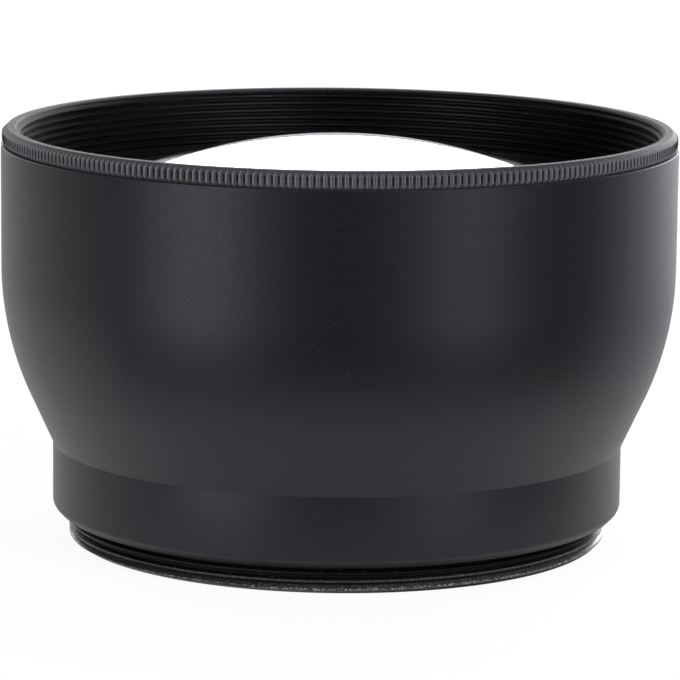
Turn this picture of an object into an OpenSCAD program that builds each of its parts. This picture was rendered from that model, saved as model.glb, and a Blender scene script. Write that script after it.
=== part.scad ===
// Screw-on tele converter: a glass-filled aluminium barrel that goes on the front of a camera lens.
// It stands on its threaded rear end. The optical axis is Z, and z = 0 is the rear end face.

/* [Rear mount] */
// Diameter of the male thread that screws on a camera lens
rear_thread_d = 52; // [46:0.5:56]
// Pitch of the threads
thread_pitch = 0.75; // [0.6:0.05:0.9]
// Length of the male thread, from the rear end to the band
rear_thread_len = 2.75; // [2.4:0.05:5]
// Grooves of the male thread below its relief
rear_thread_turns = 2; // [1:1:2]
// Width of the chamfer at the free end of the male thread
rear_chamfer_w = 0.6; // [0.4:0.05:0.8]
// Height of the chamfer at the free end of the male thread
rear_chamfer_h = 0.36; // [0.2:0.02:0.5]
// Step from the thread out to the band
band_step = 1.58; // [1:0.02:4]
// Height of the band
band_h = 6.68; // [5:0.02:12]
// Chamfer at the lower edge of the band
band_chamfer = 0.63; // [0.2:0.01:0.9]
// Thickness of the floor in the band that the barrel's spigot seats on
mount_floor = 1.65; // [1:0.05:3]
// Wall of the mount, from the thread's crest in to the bore
mount_wall = 4.5; // [4:0.1:6]

/* [Barrel] */
// Height of the barrel, from the band to the front ring
barrel_h = 28.81; // [27.5:0.01:40]
// Angle between the taper above the band and the axis
taper_angle = 24.6; // [18:0.1:32]
// Radius of the curve from the taper to the straight front
shoulder_radius = 29.7; // [15:0.1:40]
// Wall of the barrel round the sleeve of the front ring
barrel_lip = 0.8; // [0.6:0.05:2]
// Wall of the barrel round its inner space
barrel_wall = 2.2; // [1.5:0.1:3]
// Thickness of the shelf that carries the front glass
shelf_h = 1.6; // [1:0.1:2.5]
// Thickness of the barrel's floor above the band
barrel_floor_h = 2.2; // [1.5:0.1:3]
// Wall of the spigot that goes into the band
spigot_wall = 3; // [2:0.1:3.5]

/* [Front ring] */
// Diameter of the female filter thread
filter_thread_d = 62; // [60.5:0.5:67]
// Turns of filter thread
filter_thread_turns = 7; // [4:1:8]
// Wall of the ring's sleeve outside the filter thread
sleeve_wall = 0.65; // [0.55:0.05:1.5]
// Height of the knurled rim above the barrel
rim_h = 1.66; // [1.4:0.02:4]
// Width of the bevel at the mouth of the filter thread
filter_bevel = 0.18; // [0.1:0.02:0.4]
// Width of the outer chamfer on the rim
rim_chamfer_w = 0.52; // [0.4:0.01:0.6]
// Height of the outer chamfer on the rim
rim_chamfer_h = 0.48; // [0.2:0.02:0.6]
// Teeth of the knurl
knurl_teeth = 320; // [200:4:360]
// Distance from the barrel's surface in to the crests of the knurl
knurl_sink = 0.1; // [0:0.02:0.2]
// Depth of the knurl
knurl_depth = 0.36; // [0.2:0.02:0.42]
// Width of the bevel under the knurl
knurl_bevel_w = 0.3; // [0.2:0.01:0.5]
// Height of the bevel under the knurl
knurl_bevel_h = 0.45; // [0.3:0.01:0.5]
// Turns of the thread that holds the ring in the barrel
ring_thread_turns = 4; // [2:1:4]
// Thickness of the lip at the bottom of the ring
lip_h = 1.2; // [0.8:0.1:2]

/* [Slip washer] */
// Distance from the edge of the glass to where the washer bears on it
washer_inset = 0.9; // [0.8:0.05:1.5]
// Width of the washer outside its bearing circle
washer_out = 0.8; // [0.4:0.05:0.8]
// Width of the washer inside its bearing circle
washer_in = 0.7; // [0.4:0.05:1]
// Least thickness of the washer
washer_h = 0.6; // [0.4:0.05:1]
// Thickness of the washer's snap collar
washer_collar = 0.5; // [0.3:0.05:0.8]
// Overhang of the snap barb
washer_barb = 0.3; // [0.15:0.05:0.5]
// Height of the snap barb
washer_barb_h = 0.35; // [0.2:0.05:0.6]

/* [Front glass] */
// Diameter of the front group
front_glass_d = 59; // [57:0.5:60]
// Depth of the dome's top below the rim
glass_recess = 0.9; // [0.5:0.05:2.5]
// Height of the glass's edge above its pocket
glass_stand = 0.25; // [0.1:0.05:0.5]
// Radius of the dome
dome_radius = 56; // [50:0.1:66]
// Radius of the cemented face of the front group
cement_radius = 90; // [70:1:140]
// Radius of the back face of the front group
back_radius = 125; // [90:1:200]
// Edge thickness of the domed glass
crown_edge = 1.5; // [1:0.1:2.5]
// Centre thickness of the second glass
flint_centre = 2.2; // [1.5:0.1:3]

/* [Baffle] */
// Width of the seat under the front group
seat_land = 2.7; // [2.2:0.1:3.5]
// Thickness of the baffle's seat flange
seat_flange_h = 0.5; // [0.3:0.05:1]
// Wall of the baffle
baffle_wall = 1.2; // [1:0.05:1.6]
// Steps inside the baffle
baffle_steps = 12; // [12:1:20]

/* [Rear group] */
// Radius of the front face of the rear group
rear_front_radius = 45; // [40:1:80]
// Radius of the cemented face of the rear group
rear_cement_radius = 40; // [36:1:60]
// Radius of the rear face of the rear group
rear_back_radius = 55; // [48:1:90]
// Centre thickness of the concave glass
concave_centre = 1.6; // [1.2:0.1:2.5]
// Edge thickness of the meniscus glass
meniscus_edge = 1.2; // [0.8:0.1:2]
// Wall of the rear cell round the glass
cell_wall = 2.45; // [2:0.05:3]
// Depth of the rear cell inside the rear end
cell_recess = 0.8; // [0.4:0.05:1.2]
// Thickness of the lip at the front of the rear cell
cell_lip_h = 1; // [0.6:0.05:1.5]
// Width of the lip at the front of the rear cell
cell_lip_w = 2; // [1.2:0.1:4]
// Thickness of the flare stop
stop_h = 0.3; // [0.2:0.05:0.6]
// Width that the flare stop reaches inside the cell's lip
stop_w = 1; // [0.2:0.1:3]
// Thickness of the retaining ring
retainer_h = 1.4; // [1:0.05:2]
// Depth of the retaining ring inside the cell
retainer_recess = 0.2; // [0.1:0.05:0.5]
// Width that the retaining ring's thread stands outside the glass
retainer_step = 0.8; // [0.5:0.05:1.2]
// Thickness of the cushion under the rear glass
cushion_h = 0.3; // [0.2:0.05:0.6]
// Width of the cushion and of the retaining ring's grip on the glass
cushion_w = 1.5; // [1:0.05:2]
// Width of the spanner slots
slot_w = 1.6; // [1:0.1:2.5]
// Depth of the spanner slots
slot_depth = 0.6; // [0.4:0.05:0.8]

/* [Fits] */
// Radial gap in screwed and sliding fits
thread_gap = 0.05; // [0.02:0.01:0.1]
// Radial gap round a glass in its pocket
pocket_gap = 0.1; // [0.05:0.01:0.2]
// Gap between two cemented or seated faces
seat_gap = 0.03; // [0.02:0.01:0.1]
// Gap between the slip washer and the dome
washer_gap = 0.12; // [0.1:0.01:0.3]
// Gap between the baffle and the rear cell
baffle_gap = 0.3; // [0.1:0.05:1]

/* [Hidden] */
$fn = 96;
// How far a cut reaches past the face that it opens
over = 1;

// Thread form: 60 degree flanks, with a flat on the crest
thread_depth = 0.5413 * thread_pitch;
thread_flank = thread_depth * tan(30);
thread_crest = thread_pitch / 4;

// Heights along the axis, from the rear end to the rim
band_z = rear_thread_len;
band_top_z = band_z + band_h;
barrel_top_z = band_top_z + barrel_h;
front_z = barrel_top_z + rim_h;

// Outside radii
rear_thread_r = rear_thread_d / 2;
rear_root_r = rear_thread_r - thread_depth;
rear_relief_z = rear_chamfer_h + rear_thread_turns * thread_pitch + thread_crest;
band_r = rear_thread_r + band_step;
filter_major_r = filter_thread_d / 2;
filter_minor_r = filter_major_r - thread_depth;
sleeve_r = filter_major_r + sleeve_wall;
ring_bore_r = sleeve_r + thread_gap;
barrel_r = ring_bore_r + barrel_lip;

// The taper meets the shoulder's arc, and the arc meets the straight front, without a corner
taper_top_r = barrel_r - shoulder_radius * (1 - cos(taper_angle));
taper_top_z = band_top_z + (taper_top_r - band_r) / tan(taper_angle);
shoulder_top_z = taper_top_z + shoulder_radius * sin(taper_angle);

// Drop of a sphere's face from its middle to the radius r
function sag(face_radius, r) = face_radius - sqrt(face_radius * face_radius - r * r);

// Outside radius of the barrel at the height z
function barrel_outer_r(z) =
    z > shoulder_top_z ? barrel_r
    : z > taper_top_z ? barrel_r - sag(shoulder_radius, shoulder_top_z - z)
    : band_r + (z - band_top_z) * tan(taper_angle);

// Faces of the front group, from the dome down
front_glass_r = front_glass_d / 2;
dome_z = front_z - glass_recess;
glass_edge_z = dome_z - sag(dome_radius, front_glass_r);
cement_edge_z = glass_edge_z - crown_edge;
cement_z = cement_edge_z - sag(cement_radius, front_glass_r);
back_z = cement_z - flint_centre;

// Seat of the front group on the baffle's flange
baffle_in_r = front_glass_r - seat_land;
baffle_out_r = baffle_in_r + baffle_wall;
seat_z = back_z + sag(back_radius, baffle_in_r) - seat_gap;
shelf_z = seat_z - seat_flange_h;
shelf_r = baffle_out_r + pocket_gap;
glass_pocket_r = front_glass_r + pocket_gap;
glass_pocket_z = glass_edge_z - glass_stand;

// Slip washer: its underside is a cone that touches the dome on the bearing circle
bearing_r = front_glass_r - washer_inset;
bearing_z = dome_z - sag(dome_radius, bearing_r) + washer_gap;
bearing_slope = bearing_r / sqrt(dome_radius * dome_radius - bearing_r * bearing_r);
washer_in_r = bearing_r - washer_in;
washer_out_r = bearing_r + washer_out;
washer_top_z = bearing_z + washer_in * bearing_slope + washer_h;
collar_r = washer_in_r + washer_collar;
lip_r = collar_r + thread_gap;
lip_z = washer_top_z + seat_gap;
lip_top_z = lip_z + lip_h;
barb_z = lip_top_z + seat_gap;

// Front ring
knurl_r = barrel_r - knurl_sink;
rim_flat_out_r = knurl_r - rim_chamfer_w;
rim_flat_in_r = filter_major_r + filter_bevel;
rim_under_z = barrel_top_z + seat_gap;
filter_thread_z = front_z - filter_bevel;
filter_thread_end_z = filter_thread_z - thread_flank - thread_crest - filter_thread_turns * thread_pitch;

// Rear group, from the rear end up
cell_bore_r = rear_thread_r - mount_wall;
cell_r = cell_bore_r - thread_gap;
rear_glass_r = cell_r - cell_wall;
rear_pocket_r = rear_glass_r + pocket_gap;
cell_clear_r = rear_glass_r - cell_lip_w;
stop_r = cell_clear_r - stop_w;
retainer_r = rear_glass_r + retainer_step;
retainer_bore_r = retainer_r + thread_gap;
retainer_z = cell_recess + retainer_recess;
cushion_z = retainer_z + retainer_h;
rear_edge_z = cushion_z + cushion_h;
cushion_in_r = rear_glass_r - cushion_w;
meniscus_front_edge_z = rear_edge_z + meniscus_edge;
rear_cement_z = meniscus_front_edge_z + sag(rear_cement_radius, rear_glass_r);
concave_front_z = rear_cement_z + concave_centre;
stop_z = concave_front_z + sag(rear_front_radius, rear_glass_r);
cell_lip_z = stop_z + stop_h;
cell_top_z = cell_lip_z + cell_lip_h;
baffle_z = cell_top_z + baffle_gap;

// Spigot of the barrel in the band, and the space inside the barrel
spigot_r = cell_bore_r + spigot_wall;
spigot_z = band_z + mount_floor;
spigot_bore_r = spigot_r + thread_gap;
space_z = band_top_z + barrel_floor_h;
space_top_z = shelf_z - shelf_h;

// Points of a thread's outline going up from z: the wall is at crest_r, and each groove reaches root_r
function thread_points(crest_r, root_r, z, turns) = [
    for (turn = [0 : turns - 1])
        let (groove = z + turn * thread_pitch + thread_crest)
        each [
            [crest_r, groove],
            [root_r, groove + thread_flank],
            [root_r, groove + thread_pitch - thread_crest - thread_flank],
            [crest_r, groove + thread_pitch - thread_crest]
        ]
];

function backwards(points) = [for (i = [len(points) - 1 : -1 : 0]) points[i]];

// Ball that has its lowest or highest point on the axis at the height z
module ball_above(face_radius, z) {
    translate([0, 0, z + face_radius]) sphere(r = face_radius);
}

module ball_below(face_radius, z) {
    translate([0, 0, z - face_radius]) sphere(r = face_radius);
}

module round_bar(r, z, top_z) {
    translate([0, 0, z]) cylinder(r = r, h = top_z - z);
}

module washer_shape(in_r, out_r, z, top_z) {
    rotate_extrude() translate([in_r, z]) square([out_r - in_r, top_z - z]);
}

// Two slots across a ring's rear face, for a pin spanner
module spanner_slots(r, z) {
    for (side = [0, 180])
        rotate(side) translate([0, -slot_w / 2, z - slot_depth]) cube([r + slot_w, slot_w, 2 * slot_depth]);
}

// Half section of the barrel's outside, filled to the axis
module barrel_outline() {
    polygon([[0, band_top_z], [band_r, band_top_z], [taper_top_r, taper_top_z], [0, taper_top_z]]);
    intersection() {
        translate([barrel_r - shoulder_radius, shoulder_top_z]) circle(r = shoulder_radius, $fn = 240);
        translate([0, taper_top_z]) square([barrel_r, barrel_top_z - taper_top_z]);
    }
    translate([0, shoulder_top_z]) square([barrel_r, barrel_top_z - shoulder_top_z]);
    translate([0, spigot_z]) square([spigot_r, barrel_top_z - spigot_z]);
}

// Half section of the space inside the barrel, from the spigot's mouth to the front ring's bore
module barrel_inside() {
    translate([0, spigot_z - over]) square([cell_bore_r, space_z - spigot_z + 2 * over]);
    polygon([
        [0, space_z], [barrel_outer_r(space_z) - barrel_wall, space_z],
        [barrel_outer_r(space_top_z) - barrel_wall, space_top_z], [0, space_top_z]
    ]);
    translate([0, space_top_z - over]) square([shelf_r, shelf_z - space_top_z + 2 * over]);
    translate([0, shelf_z]) square([glass_pocket_r, glass_pocket_z - shelf_z + over]);
    translate([0, glass_pocket_z]) square([ring_bore_r, barrel_top_z - glass_pocket_z + over]);
}

module barrel() {
    color([0.13, 0.13, 0.14]) rotate_extrude() difference() {
        barrel_outline();
        barrel_inside();
    }
}

// Bar with the teeth of the knurl along its whole height
module knurl_bar() {
    step = 180 / knurl_teeth;
    translate([0, 0, lip_z - over]) linear_extrude(front_z - lip_z + 2 * over) polygon([
        for (corner = [0 : 2 * knurl_teeth - 1])
            let (r = corner % 2 == 0 ? knurl_r : knurl_r - knurl_depth)
            [r * cos(corner * step), r * sin(corner * step)]
    ]);
}

// Ring turned to its section, with a blank rim slightly wider than the teeth that are then cut in it
module front_ring() {
    blank = 0.1;
    color([0.2, 0.2, 0.21]) intersection() {
        rotate_extrude() polygon(concat(
            [[lip_r, lip_top_z], [lip_r, lip_z], [sleeve_r - thread_depth, lip_z]],
            thread_points(sleeve_r, sleeve_r - thread_depth, lip_z, ring_thread_turns),
            [
                [sleeve_r, rim_under_z],
                [knurl_r - knurl_bevel_w, rim_under_z],
                [knurl_r + blank, rim_under_z + (knurl_bevel_w + blank) * knurl_bevel_h / knurl_bevel_w],
                [knurl_r + blank, front_z - (rim_chamfer_w + blank) * rim_chamfer_h / rim_chamfer_w],
                [rim_flat_out_r, front_z],
                [rim_flat_in_r, front_z],
                [filter_major_r, filter_thread_z],
                [filter_minor_r, filter_thread_z - thread_flank]
            ],
            backwards(thread_points(filter_minor_r, filter_major_r, filter_thread_end_z, filter_thread_turns)),
            [[filter_minor_r, lip_top_z]]
        ));
        knurl_bar();
    }
}

module slip_washer() {
    color([0.08, 0.08, 0.08]) rotate_extrude() polygon([
        [washer_in_r, bearing_z + washer_in * bearing_slope],
        [washer_out_r, bearing_z - washer_out * bearing_slope],
        [washer_out_r, washer_top_z],
        [collar_r, washer_top_z],
        [collar_r, barb_z],
        [collar_r + washer_barb, barb_z],
        [collar_r, barb_z + washer_barb_h],
        [washer_in_r, barb_z + washer_barb_h]
    ]);
}

module front_crown_lens() {
    color([0.75, 0.85, 0.9, 0.5]) intersection() {
        round_bar(front_glass_r, cement_z, dome_z);
        ball_below(dome_radius, dome_z);
        ball_above(cement_radius, cement_z);
    }
}

module front_flint_lens() {
    color([0.75, 0.9, 0.85, 0.5]) difference() {
        intersection() {
            round_bar(front_glass_r, back_z, cement_edge_z);
            ball_above(back_radius, back_z);
        }
        ball_above(cement_radius, cement_z - seat_gap);
    }
}

module baffle_cone() {
    step_r = (baffle_in_r - cell_clear_r) / baffle_steps;
    step_h = (seat_z - baffle_z) / baffle_steps;
    color([0.06, 0.06, 0.06]) rotate_extrude() polygon(concat(
        [
            [cell_clear_r + baffle_wall, baffle_z],
            [baffle_out_r, shelf_z],
            [front_glass_r, shelf_z],
            [front_glass_r, seat_z]
        ],
        [
            for (i = [baffle_steps - 1 : -1 : 0])
                each [
                    [cell_clear_r + (i + 1) * step_r, baffle_z + (i + 1) * step_h],
                    [cell_clear_r + (i + 1) * step_r, baffle_z + i * step_h]
                ]
        ]
    ));
}

module rear_cell() {
    color([0.1, 0.1, 0.1]) difference() {
        round_bar(cell_r, cell_recess, cell_top_z);
        round_bar(cell_clear_r, cell_lip_z - over, cell_top_z + over);
        round_bar(rear_pocket_r, cushion_z, cell_lip_z);
        round_bar(retainer_bore_r, cell_recess - over, cushion_z + seat_gap);
        rotate(90) spanner_slots(cell_r, cell_recess);
    }
}

module flare_stop() {
    color([0.05, 0.05, 0.05]) washer_shape(stop_r, rear_glass_r, stop_z, cell_lip_z);
}

module rear_concave_lens() {
    color([0.75, 0.85, 0.9, 0.5]) difference() {
        round_bar(rear_glass_r, meniscus_front_edge_z, stop_z);
        ball_above(rear_front_radius, concave_front_z);
        ball_below(rear_cement_radius, rear_cement_z);
    }
}

module rear_meniscus_lens() {
    color([0.75, 0.9, 0.85, 0.5]) difference() {
        intersection() {
            round_bar(rear_glass_r, rear_edge_z, rear_cement_z);
            ball_below(rear_cement_radius, rear_cement_z - seat_gap);
        }
        ball_below(rear_back_radius, rear_edge_z + sag(rear_back_radius, rear_glass_r));
    }
}

module rear_cushion() {
    color([0.07, 0.07, 0.07]) washer_shape(cushion_in_r, rear_glass_r, cushion_z, rear_edge_z);
}

module rear_retaining_ring() {
    color([0.1, 0.1, 0.1]) difference() {
        washer_shape(cushion_in_r, retainer_r, retainer_z, cushion_z);
        spanner_slots(retainer_r, retainer_z);
    }
}

module rear_mount() {
    color([0.12, 0.12, 0.13]) rotate_extrude() polygon(concat(
        [
            [cell_bore_r, spigot_z],
            [cell_bore_r, 0],
            [rear_thread_r - rear_chamfer_w, 0],
            [rear_thread_r, rear_chamfer_h]
        ],
        thread_points(rear_thread_r, rear_root_r, rear_chamfer_h, rear_thread_turns),
        [
            [rear_thread_r, rear_relief_z],
            [rear_root_r, rear_relief_z + thread_flank],
            [rear_root_r, band_z],
            [band_r - band_chamfer, band_z],
            [band_r, band_z + band_chamfer],
            [band_r, band_top_z],
            [spigot_bore_r, band_top_z],
            [spigot_bore_r, spigot_z]
        ]
    ));
}

barrel();
front_ring();
slip_washer();
front_crown_lens();
front_flint_lens();
baffle_cone();
rear_cell();
flare_stop();
rear_concave_lens();
rear_meniscus_lens();
rear_cushion();
rear_retaining_ring();
rear_mount();
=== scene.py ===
"""Looks of a screw-on tele converter: turned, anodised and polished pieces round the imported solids."""

from math import cos, pi, radians, sin, sqrt, tan

import bmesh
import bpy
from mathutils import Matrix, Vector


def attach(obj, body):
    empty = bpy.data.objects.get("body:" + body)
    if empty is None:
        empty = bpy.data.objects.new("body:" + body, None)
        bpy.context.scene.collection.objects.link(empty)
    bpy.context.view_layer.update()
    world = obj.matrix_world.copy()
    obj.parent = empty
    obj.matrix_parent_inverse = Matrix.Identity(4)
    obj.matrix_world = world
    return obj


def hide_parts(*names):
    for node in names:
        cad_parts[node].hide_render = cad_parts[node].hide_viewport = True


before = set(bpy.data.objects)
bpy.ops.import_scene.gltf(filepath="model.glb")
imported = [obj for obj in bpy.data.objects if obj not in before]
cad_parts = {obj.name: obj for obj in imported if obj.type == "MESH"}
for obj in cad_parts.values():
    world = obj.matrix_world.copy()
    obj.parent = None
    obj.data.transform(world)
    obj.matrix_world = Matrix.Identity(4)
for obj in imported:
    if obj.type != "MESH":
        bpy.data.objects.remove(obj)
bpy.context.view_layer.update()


# Rear cell: the turned aluminium tube that holds the rear glasses. It is screwed into the rear mount from
# behind with a spanner in its two slots, and its matt black anodised skin keeps stray light down.
def noise(finish, spots, squeeze=1.0, detail=2.0):
    """Grey noise on the piece itself, in so many spots a metre, flattened along the axis by squeeze."""
    nodes = finish.node_tree.nodes
    links = finish.node_tree.links
    place = nodes.new("ShaderNodeTexCoord")
    stretch = nodes.new("ShaderNodeMapping")
    stretch.inputs["Scale"].default_value = (1, 1, squeeze)
    texture = nodes.new("ShaderNodeTexNoise")
    texture.inputs["Scale"].default_value = spots
    texture.inputs["Detail"].default_value = detail
    links.new(place.outputs["Object"], stretch.inputs["Vector"])
    links.new(stretch.outputs["Vector"], texture.inputs["Vector"])
    return texture.outputs["Fac"]


def spread(finish, share, start, end, low, high):
    """Number that goes from low to high while the share goes from start to end."""
    made = finish.node_tree.nodes.new("ShaderNodeMapRange")
    values = {"From Min": start, "From Max": end, "To Min": low, "To Max": high}
    for name, value in values.items():
        made.inputs[name].default_value = value
    finish.node_tree.links.new(share, made.inputs["Value"])
    return made.outputs["Result"]


def combine(tree, operation, first, second):
    """Sum, product or larger one of two numbers, each given as a float or as the socket that makes it."""
    made = tree.nodes.new("ShaderNodeMath")
    made.operation = operation
    for socket, number in zip(made.inputs, (first, second)):
        if isinstance(number, float):
            socket.default_value = number
        else:
            tree.links.new(number, socket)
    return made.outputs["Value"]


def blend_colours(finish, share, first, second):
    """Colour between two colours, each given as red, green and blue or as the socket that makes it."""
    made = finish.node_tree.nodes.new("ShaderNodeMix")
    made.data_type = "RGBA"
    finish.node_tree.links.new(share, made.inputs["Factor"])
    colour_sockets = [socket for socket in made.inputs if socket.type == "RGBA"]
    for socket, colour in zip(colour_sockets, (first, second)):
        if isinstance(colour, tuple):
            socket.default_value = (*colour, 1)
        else:
            finish.node_tree.links.new(colour, socket)
    return next(socket for socket in made.outputs if socket.type == "RGBA")


def raise_grain(finish, height, depth):
    """Bumps up to this depth in metres, where the height is 1."""
    strength = 0.35
    made = finish.node_tree.nodes.new("ShaderNodeBump")
    made.inputs["Distance"].default_value = depth
    made.inputs["Strength"].default_value = strength
    shader = finish.node_tree.nodes["Principled BSDF"]
    finish.node_tree.links.new(height, made.inputs["Height"])
    finish.node_tree.links.new(made.outputs["Normal"], shader.inputs["Normal"])


def black_finish(name, colour, roughness, shine, mark_depth=4e-6, dust_share=0.1):
    """Black skin over turned metal: fine rings from the lathe tool, an etched grain, and a little dust.

    mark_depth is the height of the rings and the grain in metres, and dust_share how far the dust covers.
    """
    dust_grey = (0.12, 0.12, 0.125)
    sheen = (0.87, 0.85, 1.0, 1)
    ring_contrast = 0.25
    grain_play = 0.05
    finish = bpy.data.materials.new(name)
    finish.use_nodes = True
    links = finish.node_tree.links
    shader = finish.node_tree.nodes["Principled BSDF"]
    rings = noise(finish, spots=45, squeeze=110)
    grain = noise(finish, spots=6500)
    specks = noise(finish, spots=5000, squeeze=1.6, detail=0)
    darker = tuple((1 - ring_contrast) * part for part in colour)
    lighter = tuple((1 + ring_contrast) * part for part in colour)
    skin = blend_colours(finish, rings, darker, lighter)
    dust = spread(finish, specks, start=0.74, end=0.84, low=0, high=dust_share)
    links.new(blend_colours(finish, dust, skin, dust_grey), shader.inputs["Base Color"])
    smoothest = roughness - grain_play
    roughest = roughness + grain_play
    etched = spread(finish, grain, start=0.3, end=0.7, low=smoothest, high=roughest)
    links.new(etched, shader.inputs["Roughness"])
    shader.inputs["Specular IOR Level"].default_value = shine
    shader.inputs["Specular Tint"].default_value = sheen
    raise_grain(finish, combine(finish.node_tree, "ADD", rings, grain), mark_depth)
    return finish


def dress_node(node, finish):
    """Gives a finish to a solid that shows as it is."""
    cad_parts[node].material_slots[0].material = finish


inner_black = black_finish("inner_black_anodised", (0.006, 0.006, 0.0065), roughness=0.5, shine=0.25)
dress_node("rear_cell", inner_black)


# Rear glasses: a concave glass with a meniscus cemented behind it, ground and polished.
# Their edges are painted black, and the pair drops into the cell from behind.
MM = 0.001


def equal_steps(columns):
    """Shares of a turn for so many equal columns, from 0 to 1."""
    return [column / columns for column in range(columns + 1)]


def turned(name, outline, stations):
    """Piece off a lathe.

    outline(share of a turn) gives its section there in mm, as (radius, height) points.
    """
    weld_distance = 0.0001 * MM
    sharp_edge = radians(25)
    sections = [outline(turn) for turn in stations]
    count = len(sections[0])
    starts_on_axis = sections[0][0][0] == 0
    spans = count - 1 if starts_on_axis else count
    corners = []
    for turn, section in zip(stations, sections):
        angle = 2 * pi * turn
        corners += [(r * cos(angle) * MM, r * sin(angle) * MM, z * MM) for r, z in section]
    faces = []
    for column in range(len(stations) - 1):
        here = column * count
        there = here + count
        for i in range(spans):
            after = (i + 1) % count
            faces.append((here + i, there + i, there + after, here + after))
    mesh = bpy.data.meshes.new(name)
    mesh.from_pydata(corners, [], faces)
    shape = bmesh.new()
    shape.from_mesh(mesh)
    bmesh.ops.remove_doubles(shape, verts=shape.verts, dist=weld_distance)
    bmesh.ops.recalc_face_normals(shape, faces=shape.faces)
    shape.to_mesh(mesh)
    shape.free()
    mesh.shade_smooth()
    mesh.set_sharp_from_angle(angle=sharp_edge)
    piece = bpy.data.objects.new(name, mesh)
    bpy.context.scene.collection.objects.link(piece)
    return piece


def paint(piece, finish, covers):
    """Gives a finish to the faces that covers(face, radius in mm, height in mm) picks."""
    slot = len(piece.data.materials)
    piece.data.materials.append(finish)
    for face in piece.data.polygons:
        if covers(face, face.center.xy.length / MM, face.center.z / MM):
            face.material_index = slot


def stand_for(piece, node, body):
    """Puts a piece in the place of a solid, on that solid's body."""
    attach(piece, body)
    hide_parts(node)


def sag(face_radius, r):
    """Drop of a ball's face from its middle out to the radius r."""
    return face_radius - sqrt(face_radius * face_radius - r * r)


def glass_face(middle_z, face_radius, edge_r, rises):
    """Section of a polished face from the axis to the edge. It rises or drops towards the edge."""
    steps = 40
    way = 1 if rises else -1
    radii = [edge_r * step / steps for step in range(steps + 1)]
    return [(r, middle_z + way * sag(face_radius, r)) for r in radii]


def clear_glass(name, tint, bending):
    """Polished optical glass of this refractive index, with a trace of smear on it."""
    finish = bpy.data.materials.new(name)
    finish.use_nodes = True
    shader = finish.node_tree.nodes["Principled BSDF"]
    shader.inputs["Base Color"].default_value = (*tint, 1)
    shader.inputs["Transmission Weight"].default_value = 1
    shader.inputs["IOR"].default_value = bending
    smear = spread(finish, noise(finish, spots=120, detail=4), start=0.45, end=0.75, low=0.0, high=0.05)
    finish.node_tree.links.new(smear, shader.inputs["Roughness"])
    return finish


edge_paint = black_finish(
    "lens_edge_black", (0.004, 0.004, 0.004), roughness=0.6, shine=0.2, mark_depth=2e-6, dust_share=0.03
)
cement = clear_glass("lens_cement", tint=(1.0, 1.0, 0.99), bending=1.0)
crown_glass = clear_glass("crown_glass_polished", tint=(0.985, 0.995, 0.99), bending=1.52)
flint_glass = clear_glass("flint_glass_polished", tint=(0.99, 0.99, 0.97), bending=1.62)
cement_gap = 0.03


def make_lens(name, front, back, finish, front_cemented):
    """Lens of two polished faces, with its cemented face clear and its ground edge black."""
    columns = 180
    paint_reach = 0.02
    painted_r = front[-1][0] - paint_reach
    lens = turned(name, lambda turn: front + back[::-1], equal_steps(columns))
    paint(lens, finish, lambda face, r, z: True)
    paint(lens, cement, lambda face, r, z: (face.normal.z > 0) == front_cemented)
    paint(lens, edge_paint, lambda face, r, z: r > painted_r)
    return lens


rear_glass_r = 19.0
concave_front_z = 10.301
concave_front_radius = 45
rear_cement_z = 8.701
rear_cement_radius = 40
meniscus_edge_z = 2.7
meniscus_back_radius = 55
meniscus_back_z = meniscus_edge_z + sag(meniscus_back_radius, rear_glass_r)

concave_lens = make_lens(
    "rear_concave_glass",
    front=glass_face(concave_front_z, concave_front_radius, rear_glass_r, rises=True),
    back=glass_face(rear_cement_z, rear_cement_radius, rear_glass_r, rises=False),
    finish=crown_glass,
    front_cemented=False,
)
stand_for(concave_lens, "rear_concave_lens", "barrel")

meniscus_lens = make_lens(
    "rear_meniscus_glass",
    front=glass_face(rear_cement_z - cement_gap, rear_cement_radius, rear_glass_r, rises=False),
    back=glass_face(meniscus_back_z, meniscus_back_radius, rear_glass_r, rises=False),
    finish=flint_glass,
    front_cemented=True,
)
stand_for(meniscus_lens, "rear_meniscus_lens", "barrel")


# Flare stop: a thin ring stamped from blackened sheet.
# It lies in the cell in front of the rear glasses and cuts off stray light.
dead_black = black_finish(
    "dead_black_flock", (0.004, 0.004, 0.004), roughness=0.85, shine=0.1, mark_depth=6e-6, dust_share=0.04
)
dress_node("flare_stop", dead_black)


# Cushion: a soft rubber ring cut from sheet.
# It takes up the play between the rear glasses and their retaining ring.
cushion_rubber = black_finish(
    "cushion_rubber_black", (0.012, 0.012, 0.012), roughness=0.75, shine=0.3, mark_depth=8e-6
)
dress_node("rear_cushion", cushion_rubber)


# Retaining ring: a turned and blackened aluminium ring with an outside thread and two spanner slots.
# It screws into the cell behind the cushion and holds the rear glasses.
dress_node("rear_retaining_ring", inner_black)


# Barrel: the satin black shell, turned from aluminium bar. It is straight at the front, then curves in to
# a taper that ends on the rear mount's band, with a spigot below that goes into the mount.
def broken(points, width):
    """Same line of points with each corner between them taken off by a small flat, as on a deburred edge."""
    eased = [points[0]]
    for before, corner, after in zip(points, points[1:], points[2:]):
        for end in (before, after):
            run = end[0] - corner[0]
            rise = end[1] - corner[1]
            reach = width / sqrt(run ** 2 + rise ** 2)
            eased.append((corner[0] + reach * run, corner[1] + reach * rise))
    return eased + [points[-1]]


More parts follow.
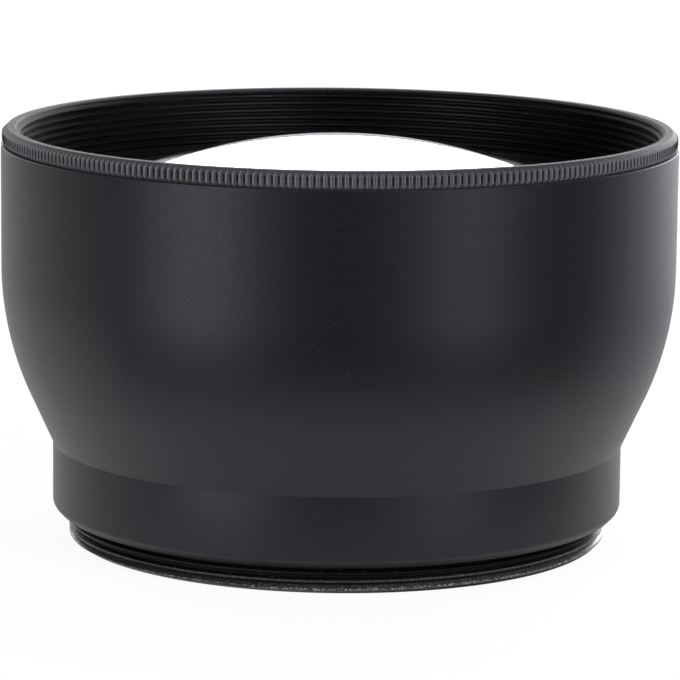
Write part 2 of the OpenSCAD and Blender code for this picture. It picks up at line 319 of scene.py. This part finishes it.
band_r = 27.58
band_top_z = 9.43
barrel_r = 32.5
barrel_top_z = 38.24
barrel_wall = 2.2
barrel_columns = 480
taper_angle = radians(24.6)
shoulder_radius = 29.7
shoulder_steps = 24
taper_top_r = barrel_r - shoulder_radius * (1 - cos(taper_angle))
taper_top_z = band_top_z + (taper_top_r - band_r) / tan(taper_angle)
shoulder_top_z = taper_top_z + shoulder_radius * sin(taper_angle)
spigot_r = 24.5
spigot_z = 4.4
cell_bore_r = 21.5
space_z = 11.63
space_r = band_r + (space_z - band_top_z) * tan(taper_angle) - barrel_wall
space_top_z = 22.705
space_top_r = barrel_r - sag(shoulder_radius, shoulder_top_z - space_top_z) - barrel_wall
shelf_r = 28.1
shelf_z = 24.305
glass_pocket_r = 29.6
glass_pocket_z = 30.35
ring_bore_r = 31.7
seam_break = 0.004
mouth_break = 0.03
mouth_edge_h = 0.04
mouth_edge_z = barrel_top_z - mouth_edge_h


def shoulder_point(share):
    """Point on the curve from the taper, at share 0, up to the straight front, at share 1."""
    angle = taper_angle * (1 - share)
    return barrel_r - shoulder_radius * (1 - cos(angle)), shoulder_top_z - shoulder_radius * sin(angle)


barrel_foot = [
    (spigot_r, spigot_z), (spigot_r, band_top_z), (band_r, band_top_z), (taper_top_r, taper_top_z),
]
barrel_shoulder = [shoulder_point(share) for share in equal_steps(shoulder_steps)]
barrel_mouth = [
    (barrel_r, shoulder_top_z), (barrel_r, barrel_top_z), (ring_bore_r, barrel_top_z),
    (ring_bore_r, glass_pocket_z), (glass_pocket_r, glass_pocket_z), (glass_pocket_r, shelf_z),
    (shelf_r, shelf_z), (shelf_r, space_top_z), (space_top_r, space_top_z), (space_r, space_z),
    (cell_bore_r, space_z), (cell_bore_r, spigot_z),
]
barrel_section = broken(barrel_foot, seam_break)[:-1]
barrel_section += barrel_shoulder
barrel_section += broken(barrel_mouth, mouth_break)[1:]
barrel = turned("barrel_shell", lambda turn: barrel_section, equal_steps(barrel_columns))
barrel_black = black_finish(
    "satin_black_anodised", (0.0035, 0.0034, 0.0043), roughness=0.45, shine=0.43, mark_depth=5e-6
)
# The barrel's top ledge under the ring gets a lighter grey copy of the black: painted light that lifts the
# shade the ring's bevel casts on it.
ledge_lifted_grey = black_finish("ledge_painted_light_anodised", (0.025, 0.025, 0.027), roughness=0.45, shine=0.3)
paint(barrel, barrel_black, lambda face, r, z: True)
paint(barrel, ledge_lifted_grey, lambda face, r, z: z > mouth_edge_z and r > ring_bore_r)
stand_for(barrel, "barrel", "barrel")


# Rear mount: the turned ring with the straight band and the male thread that screws on a camera lens.
# The barrel's spigot is locked in its bore. Use has rubbed the black off the thread's crests, which carry
# painted highlight too.
pitch = 0.75
flank_angle = radians(30)
thread_depth = 0.5413 * pitch
half_crest = pitch / 8
flank = thread_depth * tan(flank_angle)

# One pitch of a metric thread from its crest up, as (height, share of the depth) points
thread_shape = [
    (-half_crest, 0), (0, 0), (half_crest, 0), (half_crest + flank / 2, 0.5), (half_crest + flank, 1),
    (pitch - half_crest - flank, 1), (pitch - half_crest - flank / 2, 0.5),
]


def thread_line(turn, crest_z, low_z, high_z, wall):
    """Points up a right-hand thread at a share of a turn. wall(height, share of depth) gives the radius."""
    first = crest_z - pitch * int((crest_z - low_z) / pitch + 2)
    turns = int((high_z - first) / pitch + 2)
    line = []
    for count in range(turns):
        for offset, share in thread_shape:
            z = min(max(first + (count + turn) * pitch + offset, low_z), high_z)
            line.append((wall(z, share), z))
    return line


rear_thread_r = 26.0
rear_root_r = rear_thread_r - thread_depth
rear_chamfer_w = 0.6
rear_chamfer_h = 0.36
near_crest_z = 1.23
rear_crest_z = near_crest_z + pitch / 4
relief_z = 2.05
band_z = 2.75
band_chamfer = 0.63
band_chamfer_h = 0.47
mount_bore_r = 24.55
mount_columns = 360

# Chamfer at the lower edge of the band and the curve above it, as (distance in, height) points
band_edge = [(band_chamfer, 0), (0.16, band_chamfer_h), (0.05, 0.66), (0, 0.86)]


def rear_thread_wall(z, share):
    """Male thread, cut off by the chamfer at its free end and by the relief under the band."""
    chamfer = rear_thread_r - rear_chamfer_w + z * rear_chamfer_w / rear_chamfer_h
    relief = rear_thread_r - max(0, z - relief_z) / tan(flank_angle)
    return min(rear_thread_r - share * thread_depth, chamfer, max(relief, rear_root_r))


mount_corners = [(rear_root_r, band_z)]
mount_corners += [(band_r - inset, band_z + height) for inset, height in band_edge]
mount_corners += [
    (band_r, band_top_z), (mount_bore_r, band_top_z), (mount_bore_r, spigot_z), (cell_bore_r, spigot_z),
    (cell_bore_r, 0), (rear_thread_r - rear_chamfer_w, 0),
]
mount_line = broken(mount_corners, seam_break)


def mount_section(turn):
    """Section of the mount at a share of a turn, with the thread at its height there."""
    return mount_line + thread_line(turn, rear_crest_z, 0, band_z, rear_thread_wall)


def wear_and_highlight_finish(name, highlight_level):
    """Black skin rubbed through in bright dots and dashes: wear, with painted highlight. The level given is
    how bright that painted metal is.
    """
    skin_black = (0.015, 0.015, 0.016)
    highlight_grey = (highlight_level, highlight_level, 1.04 * highlight_level)
    shine = 0.2
    wear_depth = 6e-6
    finish = bpy.data.materials.new(name)
    finish.use_nodes = True
    links = finish.node_tree.links
    shader = finish.node_tree.nodes["Principled BSDF"]
    wear = spread(finish, noise(finish, spots=5500, detail=3), start=0.46, end=0.66, low=0, high=1)
    links.new(blend_colours(finish, wear, skin_black, highlight_grey), shader.inputs["Base Color"])
    links.new(spread(finish, wear, start=0, end=1, low=0.45, high=0.3), shader.inputs["Roughness"])
    shader.inputs["Specular IOR Level"].default_value = shine
    raise_grain(finish, wear, wear_depth)
    return finish


thread_side_r = cell_bore_r + 1
# Heights and lean below which crests and flanks get painted highlight; higher up, painted shade from the
# band keeps them black.
lit_flank_top_z = 0.95
lit_flank_lean = 0.3
lit_crest_top_z = 1.8
brightest_crest_top_z = 0.9
crest_play = 0.01


def is_lit_flank(face, r, z):
    """True on the flanks near the free end that face up, which get painted highlight where the band does not
    shade them.
    """
    return z < lit_flank_top_z and face.normal.z > lit_flank_lean and r > rear_root_r


def is_crest(r):
    """True on the crests of the rear thread."""
    return abs(r - rear_thread_r) < crest_play


mount = turned("rear_mount_ring", mount_section, equal_steps(mount_columns))
band_black = black_finish(
    "band_black_anodised", (0.003, 0.0029, 0.0037), roughness=0.45, shine=0.36, mark_depth=5e-6
)
thread_black = black_finish(
    "thread_black_anodised", (0.004, 0.004, 0.0045), roughness=0.45, shine=0.12,
    mark_depth=5e-6, dust_share=0.5
)
# The lowest crest is painted brightest, the next one dimmer and the one under the band not at all, and
# up-facing flanks near the free end are painted lighter: painted highlight and painted shade from the band's
# overhang, over real wear.
crest_wear_and_highlight = wear_and_highlight_finish("thread_crest_wear_and_highlight", highlight_level=0.22)
flank_wear_and_highlight = wear_and_highlight_finish("thread_flank_wear_and_highlight", highlight_level=0.07)
paint(mount, band_black, lambda face, r, z: True)
paint(mount, thread_black, lambda face, r, z: z < band_z + band_chamfer_h and r > thread_side_r)
paint(mount, flank_wear_and_highlight, is_lit_flank)
paint(mount, flank_wear_and_highlight, lambda face, r, z: z < lit_crest_top_z and is_crest(r))
paint(mount, crest_wear_and_highlight, lambda face, r, z: z < brightest_crest_top_z and is_crest(r))
stand_for(mount, "rear_mount", "barrel")


# Baffle: a moulded dead black cone between the glass groups, stepped inside so that it throws no light
# back. The front group sits on its flange.
dress_node("baffle_cone", dead_black)


# Front glasses: a thick domed crown glass with a thinner flint glass cemented behind it.
# The pair lies on the baffle's flange and fills the front of the barrel.
front_glass_r = 29.5
dome_z = 39.0
dome_radius = 56
front_cement_z = 24.128
front_cement_radius = 90
flint_back_z = 21.928
flint_back_radius = 125

crown_lens = make_lens(
    "front_crown_glass",
    front=glass_face(dome_z, dome_radius, front_glass_r, rises=False),
    back=glass_face(front_cement_z, front_cement_radius, front_glass_r, rises=True),
    finish=crown_glass,
    front_cemented=False,
)
stand_for(crown_lens, "front_crown_lens", "barrel")

flint_lens = make_lens(
    "front_flint_glass",
    front=glass_face(front_cement_z - cement_gap, front_cement_radius, front_glass_r, rises=True),
    back=glass_face(flint_back_z, flint_back_radius, front_glass_r, rises=True),
    finish=flint_glass,
    front_cemented=True,
)
stand_for(flint_lens, "front_flint_lens", "barrel")


# Slip washer: a moulded black plastic washer snapped into the front ring's lip.
# It lets the ring turn down on the glass without rubbing it.
washer_plastic = black_finish(
    "black_acetal", (0.01, 0.01, 0.01), roughness=0.35, shine=0.5, mark_depth=3e-6, dust_share=0.06
)
dress_node("slip_washer", washer_plastic)


# Front ring: the knurled aluminium ring that clamps the front glass. It is turned with a filter thread
# inside and screws into the barrel by its sleeve. Its rim is straight knurled, then bevelled and anodised.
front_z = 39.90
rim_under_z = 38.27
sleeve_r = 31.65
sleeve_root_r = sleeve_r - thread_depth
sleeve_lead_in = 0.25
knurl_sink = 0.1
knurl_r = barrel_r - knurl_sink
knurl_depth = 0.36
knurl_edge_drop = 0.052
knurl_bevel_w = 0.3
knurl_bevel_h = 0.45
rim_chamfer_w = 0.52
rim_chamfer_h = 0.48
rim_out_r = knurl_r - rim_chamfer_w
filter_major_r = 31.0
filter_minor_r = filter_major_r - thread_depth
filter_bevel = 0.18
filter_top_z = front_z - filter_bevel
filter_crest_z = 39.0
filter_low_z = 34.05
lip_r = 28.45
lip_z = 32.312
lip_h = 1.2
lip_top_z = lip_z + lip_h

# Shares of a tooth, from its crest out to the end of its eased side and to the middle of the groove
knurl_teeth = 320
knurl_edge = 0.2
half_tooth = 0.5


def filter_thread_wall(z, share):
    """Female thread, opened by the bevel at its mouth and running out at its lower end."""
    run_out = min(1, (z - filter_low_z) / pitch)
    mouth = filter_major_r - (filter_top_z - z)
    return max(filter_minor_r + share * run_out * thread_depth, mouth)


def knurl_cut(turn):
    """Depth of the knurl at a share of a turn: a crest with eased sides, and steep flanks below them."""
    off_crest = abs(turn * knurl_teeth % 1 - half_tooth)
    if off_crest < knurl_edge:
        return knurl_edge_drop * off_crest / knurl_edge
    flank_drop = knurl_depth - knurl_edge_drop
    return knurl_edge_drop + flank_drop * (off_crest - knurl_edge) / (half_tooth - knurl_edge)


def ring_section(turn):
    """Section of the ring at a share of a turn, through a knurl tooth or the groove beside it."""
    r = knurl_r - knurl_cut(turn)
    bevel_r = min(r, knurl_r - knurl_bevel_w)
    bevel_z = rim_under_z + (r - bevel_r) * knurl_bevel_h / knurl_bevel_w
    chamfer_z = front_z - (r - rim_out_r) * rim_chamfer_h / rim_chamfer_w
    outside = [
        (lip_r, lip_top_z), (lip_r, lip_z), (sleeve_root_r, lip_z), (sleeve_r, lip_z + sleeve_lead_in),
        (sleeve_r, rim_under_z), (bevel_r, rim_under_z), (r, bevel_z), (r, chamfer_z), (rim_out_r, front_z),
        (filter_major_r + filter_bevel, front_z),
    ]
    inside = thread_line(turn, filter_crest_z, filter_low_z, filter_top_z, filter_thread_wall)
    return outside + inside[::-1] + [(filter_minor_r, lip_top_z)]


def across(face):
    """Share of a face's normal that points round the axis, as on the flank of a knurl tooth."""
    x, y = face.center.xy.normalized()
    return abs(face.normal.y * x - face.normal.x * y)


knurl_stations = [0.0]
for tooth in range(knurl_teeth):
    for offset in (-knurl_edge, 0, knurl_edge, half_tooth):
        knurl_stations.append((tooth + half_tooth + offset) / knurl_teeth)
front_ring = turned("front_ring_knurled", ring_section, knurl_stations)
rim_grey = black_finish("rim_grey_anodised", (0.04, 0.04, 0.044), roughness=0.6, shine=0.06)
# The knurl is one anodised skin, given a dark copy on its crests and a light grey copy on its steep flanks:
# painted shade where the crests face the dark front, painted highlight where the flanks face the side soft
# boxes.
knurl_crest_shade_black = black_finish("knurl_crest_painted_shade", (0.008, 0.008, 0.009), roughness=0.5, shine=0.12)
knurl_flank_highlight_grey = black_finish(
    "knurl_flank_painted_highlight", (0.15, 0.15, 0.165), roughness=0.4, shine=0.3, dust_share=0.2
)
# The down-facing bevel and ledge under the teeth get a lighter grey than the crests: painted light that
# lifts the shade of the notch.
bevel_lifted_grey = black_finish("bevel_painted_light_anodised", (0.05, 0.05, 0.055), roughness=0.4, shine=0.4)
filter_colour = (0.003, 0.003, 0.0034)
filter_dust = 0.04
filter_black = black_finish(
    "filter_thread_black", filter_colour, roughness=0.36, shine=0.4, dust_share=filter_dust
)
filter_matt = black_finish(
    "filter_flank_matt", filter_colour, roughness=0.7, shine=0.08, dust_share=filter_dust
)
filter_wall_r = filter_major_r + crest_play
bevel_lean = 0.2
matt_lean = 0.05
knurl_flank_share = 0.65
paint(front_ring, rim_grey, lambda face, r, z: True)
# Crests and eased sides get the painted shade, steep flanks the painted highlight.
paint(front_ring, knurl_crest_shade_black, lambda face, r, z: r > sleeve_r and abs(face.normal.z) < bevel_lean)
paint(front_ring, knurl_flank_highlight_grey, lambda face, r, z: across(face) > knurl_flank_share)
# Painted light on the shaded down-facing bevel and ledge.
paint(front_ring, bevel_lifted_grey, lambda face, r, z: r > sleeve_r and face.normal.z < -bevel_lean)
paint(front_ring, filter_black, lambda face, r, z: r < filter_wall_r and z < filter_top_z)
paint(front_ring, filter_matt, lambda face, r, z: r < filter_wall_r and face.normal.z > matt_lean)
stand_for(front_ring, "front_ring", "front_ring")


# Stage: a white board with a round front end, wider at the left, lit by soft boxes at both sides, behind
# and high up. The studio is white behind the object, and dark overhead and behind the camera.
def is_seen(tree):
    """1 for a ray from the camera, a mirror reflection or a view through glass."""
    path = tree.nodes.new("ShaderNodeLightPath")
    direct = combine(tree, "MAXIMUM", path.outputs["Is Camera Ray"], path.outputs["Is Glossy Ray"])
    return combine(tree, "MAXIMUM", direct, path.outputs["Is Transmission Ray"])


def is_camera(tree):
    """1 for a ray from the camera."""
    return tree.nodes.new("ShaderNodeLightPath").outputs["Is Camera Ray"]


def either_shader(tree, share, first, second):
    """First shader where the share is 0, and second where it is 1."""
    made = tree.nodes.new("ShaderNodeMixShader")
    tree.links.new(share, made.inputs["Fac"])
    for socket, shader in zip(made.inputs[1:], (first, second)):
        tree.links.new(shader, socket)
    return made.outputs["Shader"]


board_z = -0.00002
board_r = 0.057
board_left_x = -0.4
board_right_x = 0.12
board_back_y = 0.8
board_left_turn = -60
board_right_turn = 90
board_turn_step = 6
board_turns = [radians(turn) for turn in range(board_left_turn, board_right_turn + 1, board_turn_step)]
board_edge = [(board_r * sin(turn), -board_r * cos(turn)) for turn in board_turns]
board_left_y = board_edge[0][1]
board_edge += [(board_right_x, board_back_y), (board_left_x, board_back_y), (board_left_x, board_left_y)]
floor_mesh = bpy.data.meshes.new("floor")
floor_mesh.from_pydata([(x, y, board_z) for x, y in board_edge], [], [range(len(board_edge))])
floor = bpy.data.objects.new("floor", floor_mesh)
bpy.context.scene.collection.objects.link(floor)

# The board shows as white to the camera and in reflections, and as nothing from below.
paper_white = (0.92, 0.92, 0.92, 1)
glow_share = 0.93
floor_white = bpy.data.materials.new("floor_white")
floor_white.use_nodes = True
board = floor_white.node_tree
board.nodes.remove(board.nodes["Principled BSDF"])
paper = board.nodes.new("ShaderNodeBsdfDiffuse")
paper.inputs["Color"].default_value = paper_white
glow = board.nodes.new("ShaderNodeEmission")
nothing = board.nodes.new("ShaderNodeBsdfTransparent")
underside = board.nodes.new("ShaderNodeNewGeometry").outputs["Backfacing"]
glowing = combine(board, "MULTIPLY", is_seen(board), glow_share)
from_below = combine(board, "MULTIPLY", is_camera(board), underside)
top = either_shader(board, glowing, paper.outputs["BSDF"], glow.outputs["Emission"])
both_sides = either_shader(board, from_below, top, nothing.outputs["BSDF"])
board.links.new(both_sides, board.nodes["Material Output"].inputs["Surface"])
floor.data.materials.append(floor_white)


def softbox(name, width, height, place, aim_z, level):
    """Soft box as an area lamp that faces the axis at a height. Seen straight on, level 1 is white."""
    lamp = bpy.data.lights.new(name, "AREA")
    lamp.shape = "RECTANGLE"
    lamp.size = width
    lamp.size_y = height
    lamp.energy = level * pi * width * height
    made = bpy.data.objects.new(name, lamp)
    bpy.context.scene.collection.objects.link(made)
    made.location = place
    made.rotation_euler = (Vector(place) - Vector((0, 0, aim_z))).to_track_quat("Z", "Y").to_euler()
    made.visible_camera = False


softbox("left_box", width=0.4, height=0.66, place=(-0.55, -0.53, 0.09), aim_z=0.09, level=3.7)
softbox("right_box", width=0.3, height=0.66, place=(0.52, -0.56, 0.09), aim_z=0.09, level=2.8)
softbox("right_back_panel", width=0.45, height=0.42, place=(0.40, 0.71, 0.21), aim_z=0.21, level=9.5)
softbox("back_box", width=1.6, height=0.55, place=(0, 0.8, 0.4), aim_z=0.02, level=4.0)
softbox("high_box", width=0.4, height=0.4, place=(0.4, -0.57, 0.61), aim_z=0.03, level=10.0)

ambient_grey = (0.35, 0.35, 0.35, 1)
backdrop_white = (1.02, 1.0, 1.08, 1)
world = bpy.data.worlds.new("studio")
bpy.context.scene.world = world
world.use_nodes = True
studio = world.node_tree
direction = studio.nodes.new("ShaderNodeTexCoord")
way = studio.nodes.new("ShaderNodeSeparateXYZ")
studio.links.new(direction.outputs["Generated"], way.inputs["Vector"])


def fade(axis, start, end):
    """Number that goes smoothly from 0 to 1 while one part of the direction goes from start to end."""
    made = studio.nodes.new("ShaderNodeMapRange")
    made.interpolation_type = "SMOOTHSTEP"
    made.inputs["From Min"].default_value = start
    made.inputs["From Max"].default_value = end
    studio.links.new(way.outputs[axis], made.inputs["Value"])
    return made.outputs["Result"]


behind = combine(studio, "MULTIPLY", fade("Y", start=-0.05, end=0.5), fade("Z", start=0.75, end=0.5))
backdrop = combine(studio, "MULTIPLY", behind, fade("X", start=-1.2, end=0.2))
ambient = studio.nodes["Background"]
ambient.inputs["Color"].default_value = ambient_grey
white = studio.nodes.new("ShaderNodeBackground")
white.inputs["Color"].default_value = backdrop_white
studio.links.new(combine(studio, "MAXIMUM", is_camera(studio), backdrop), white.inputs["Strength"])
room = either_shader(studio, is_seen(studio), ambient.outputs["Background"], white.outputs["Background"])
studio.links.new(room, studio.nodes["World Output"].inputs["Surface"])


# Camera: a long lens, a little above the rim, as in the photograph.
# The picture is square, and the object fills its width.
camera_place = (0, -0.39194, 0.08942)
pitch_down = 0.1777
yaw = 0.0005
roll = 0.0106
forward = Vector((sin(yaw) * cos(pitch_down), cos(yaw) * cos(pitch_down), -sin(pitch_down)))
level_right = Vector((cos(yaw), -sin(yaw), 0))
level_up = level_right.cross(forward)
right = cos(roll) * level_right + sin(roll) * level_up
up = cos(roll) * level_up - sin(roll) * level_right
facing = Matrix((right, up, -forward)).transposed().to_4x4()
camera_data = bpy.data.cameras.new("camera")
camera_data.sensor_width = 36
camera_data.lens = 217.45
camera_data.clip_start = 0.01
camera_data.clip_end = 20
camera = bpy.data.objects.new("camera", camera_data)
bpy.context.scene.collection.objects.link(camera)
camera.matrix_world = Matrix.Translation(camera_place) @ facing
bpy.context.scene.camera = camera
bpy.context.scene.view_settings.view_transform = "Standard"
